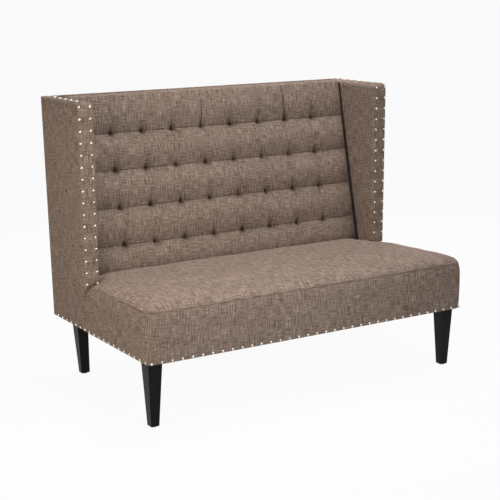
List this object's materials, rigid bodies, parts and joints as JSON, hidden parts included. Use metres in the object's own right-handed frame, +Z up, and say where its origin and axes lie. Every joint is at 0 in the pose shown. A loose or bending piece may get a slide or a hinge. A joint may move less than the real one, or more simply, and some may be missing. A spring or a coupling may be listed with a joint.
{
  "type": "upholstered wing settee",
  "caption": "Wing-back settee for sitting side by side: tall tufted back, straight padded wings, tight T-shaped seat and tapered wooden legs.",
  "frame": {"origin": "on the floor, under the middle of the settee's outer box", "axes": "+Z up, -Y is the front that the sitter faces, +X is to the right as seen from the front looking along +Y"},
  "size_m": [1.3, 0.776, 1.02],
  "materials": {
    "cover_fabric": "matte woven linen look, taupe",
    "black_wood": "satin black lacquer",
    "pine": "sawn, unfinished",
    "plywood": "sawn, unfinished",
    "foam": "open-cell foam",
    "grey_felt": "needled felt",
    "elastic_webbing": "woven elastic strap",
    "black_dust_cloth": "thin non-woven cloth",
    "spring_steel": "dark oiled wire",
    "zinc_steel": "zinc plated",
    "dark_nylon": "moulded"
  },
  "bodies": {
    "root": {"front_rail": "pine", "side_rail_left": "pine", "side_rail_right": "pine", "rear_rail": "pine", "spring_rail": "pine", "centre_rail": "pine", "corner_block_front_left": "plywood", "corner_block_front_right": "plywood", "corner_block_rear_left": "plywood", "corner_block_rear_right": "plywood", "seat_spring_1": "spring_steel", "seat_spring_2": "spring_steel", "seat_spring_3": "spring_steel", "seat_spring_4": "spring_steel", "seat_spring_5": "spring_steel", "seat_spring_6": "spring_steel", "seat_spring_7": "spring_steel", "seat_spring_8": "spring_steel", "clip_rail_front": "zinc_steel", "clip_rail_rear": "zinc_steel", "insulator_pad": "grey_felt", "seat_cushion": "cover_fabric", "seat_border_front": "cover_fabric", "seat_border_left": "cover_fabric", "seat_border_right": "cover_fabric", "back_pad": "cover_fabric", "back_post_left": "pine", "back_post_right": "pine", "back_top_rail": "pine", "back_bottom_rail": "pine", "back_centre_post": "pine", "back_webbing_1": "elastic_webbing", "back_webbing_2": "elastic_webbing", "back_webbing_3": "elastic_webbing", "back_webbing_4": "elastic_webbing", "outside_back": "cover_fabric", "wing_frame_left": "plywood", "wing_frame_right": "plywood", "wing_foam_left": "foam", "wing_foam_right": "foam", "wing_cover_left": "cover_fabric", "wing_cover_right": "cover_fabric", "dust_cover": "black_dust_cloth", "leg_front_left": "black_wood", "leg_front_right": "black_wood", "leg_rear_left": "black_wood", "leg_rear_right": "black_wood", "hanger_bolt_front_left": "zinc_steel", "hanger_bolt_front_right": "zinc_steel", "hanger_bolt_rear_left": "zinc_steel", "hanger_bolt_rear_right": "zinc_steel", "tee_nut_front_left": "zinc_steel", "tee_nut_front_right": "zinc_steel", "tee_nut_rear_left": "zinc_steel", "tee_nut_rear_right": "zinc_steel", "glide_front_left": "dark_nylon", "glide_front_right": "dark_nylon", "glide_rear_left": "dark_nylon", "glide_rear_right": "dark_nylon"}
  },
  "joints": []
}
